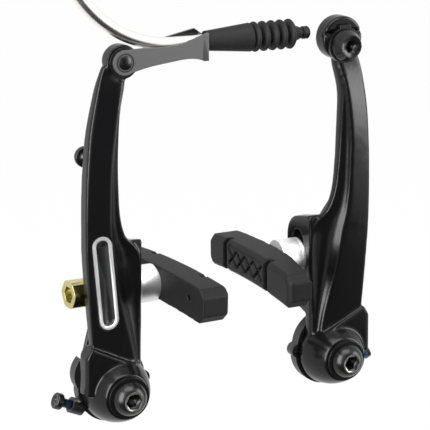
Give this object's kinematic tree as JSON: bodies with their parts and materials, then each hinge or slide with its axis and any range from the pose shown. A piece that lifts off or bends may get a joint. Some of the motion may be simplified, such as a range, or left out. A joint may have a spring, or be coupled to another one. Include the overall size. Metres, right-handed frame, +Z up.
{
  "type": "linear-pull bicycle rim brake",
  "caption": "Long-arm linear-pull rim brake with black forged arms, threaded-stud pads, a folded cable link and a bent cable guide pipe with a bellows boot.",
  "frame": {"origin": "midway between the axes of the two frame bosses, in the plane of the bosses' free ends", "axes": "+X towards the arm with the cable clamp, +Y along the bosses towards the bicycle frame, +Z up the arms"},
  "size_m": [0.1193, 0.0643, 0.1792],
  "materials": {
    "arm_black": "gloss black anodised forging",
    "badge_trim": "satin",
    "black_steel": "black oxide",
    "black_screw": "black zinc",
    "black_plastic": "satin moulded",
    "spring_steel": "bright drawn wire",
    "silver": "satin turned",
    "zinc_steel": "zinc plated",
    "yellow_zinc": "yellow zinc plate on steel",
    "pad_rubber": "matt moulded",
    "boot_rubber": "matt moulded",
    "link_grey": "satin pressed sheet",
    "pipe_chrome": "polished",
    "liner_plastic": "slippery tube"
  },
  "bodies": {
    "frame_hardware": {"left_pivot_sleeve": "zinc_steel", "left_pivot_bolt": "black_steel", "left_bolt_washer": "black_steel", "left_spring_holder": "black_plastic", "left_return_spring": "spring_steel", "right_pivot_sleeve": "zinc_steel", "right_pivot_bolt": "black_steel", "right_bolt_washer": "black_steel", "right_spring_holder": "black_plastic", "right_return_spring": "spring_steel"},
    "left_arm": {"left_arm": "arm_black", "left_spring_pin": "black_steel", "left_pad": "pad_rubber", "left_pad_stud": "zinc_steel", "left_pad_nut": "yellow_zinc", "left_pad_washer": "silver", "left_inner_dome_washer": "silver", "left_outer_dome_washer": "silver", "left_inner_cup_washer": "silver", "left_outer_cup_washer": "silver", "badge": "badge_trim", "link_pin": "black_steel", "link_washer": "black_steel"},
    "right_arm": {"right_arm": "arm_black", "right_spring_pin": "black_steel", "right_pad": "pad_rubber", "right_pad_stud": "zinc_steel", "right_pad_nut": "yellow_zinc", "right_pad_washer": "silver", "right_inner_dome_washer": "silver", "right_outer_dome_washer": "silver", "right_inner_cup_washer": "silver", "right_outer_cup_washer": "silver", "cable_clamp_washer": "black_steel", "cable_clamp_bolt": "black_steel"},
    "link": {"link": "link_grey"},
    "pipe": {"guide_pipe": "pipe_chrome", "pipe_liner": "liner_plastic", "pipe_ferrule": "pipe_chrome"},
    "boot": {"cable_boot": "boot_rubber"},
    "left_tension_screw": {"left_tension_screw": "black_screw"},
    "right_tension_screw": {"right_tension_screw": "black_screw"}
  },
  "joints": [
    {"name": "left_arm_pivot", "type": "hinge", "parent": "frame_hardware", "child": "left_arm", "pos_m": [-0.04, 0, 0], "axis": [0, 1, 0], "range_deg": [-20, 1.7], "stiffness_Nm_per_rad": 1.2, "deforming": ["left_return_spring"]},
    {"name": "right_arm_pivot", "type": "hinge", "parent": "frame_hardware", "child": "right_arm", "pos_m": [0.04, 0, 0], "axis": [0, -1, 0], "range_deg": [-20, 1.7], "stiffness_Nm_per_rad": 1.2, "deforming": ["right_return_spring"]},
    {"name": "link_pivot", "type": "hinge", "parent": "left_arm", "child": "link", "pos_m": [-0.03743, 0.0067, 0.10697], "axis": [0, -1, 0], "range_deg": [-30, 4]},
    {"name": "pipe_swivel", "type": "hinge", "parent": "link", "child": "pipe", "pos_m": [-0.03743, 0.0067, 0.11117], "axis": [1, 0, 0], "range_deg": [-10, 10]},
    {"name": "boot_fold", "type": "slide", "parent": "pipe", "child": "boot", "axis": [-1, 0, 0], "range_m": [0, 0.008], "stiffness_N_per_m": 150, "deforming": ["cable_boot"]},
    {"name": "left_tension_travel", "type": "slide", "parent": "frame_hardware", "child": "left_tension_screw", "axis": [-0.9136, 0, 0.4067], "range_m": [-0.001, 0.0025]},
    {"name": "right_tension_travel", "type": "slide", "parent": "frame_hardware", "child": "right_tension_screw", "axis": [0.9136, 0, 0.4067], "range_m": [-0.001, 0.0025]}
  ]
}
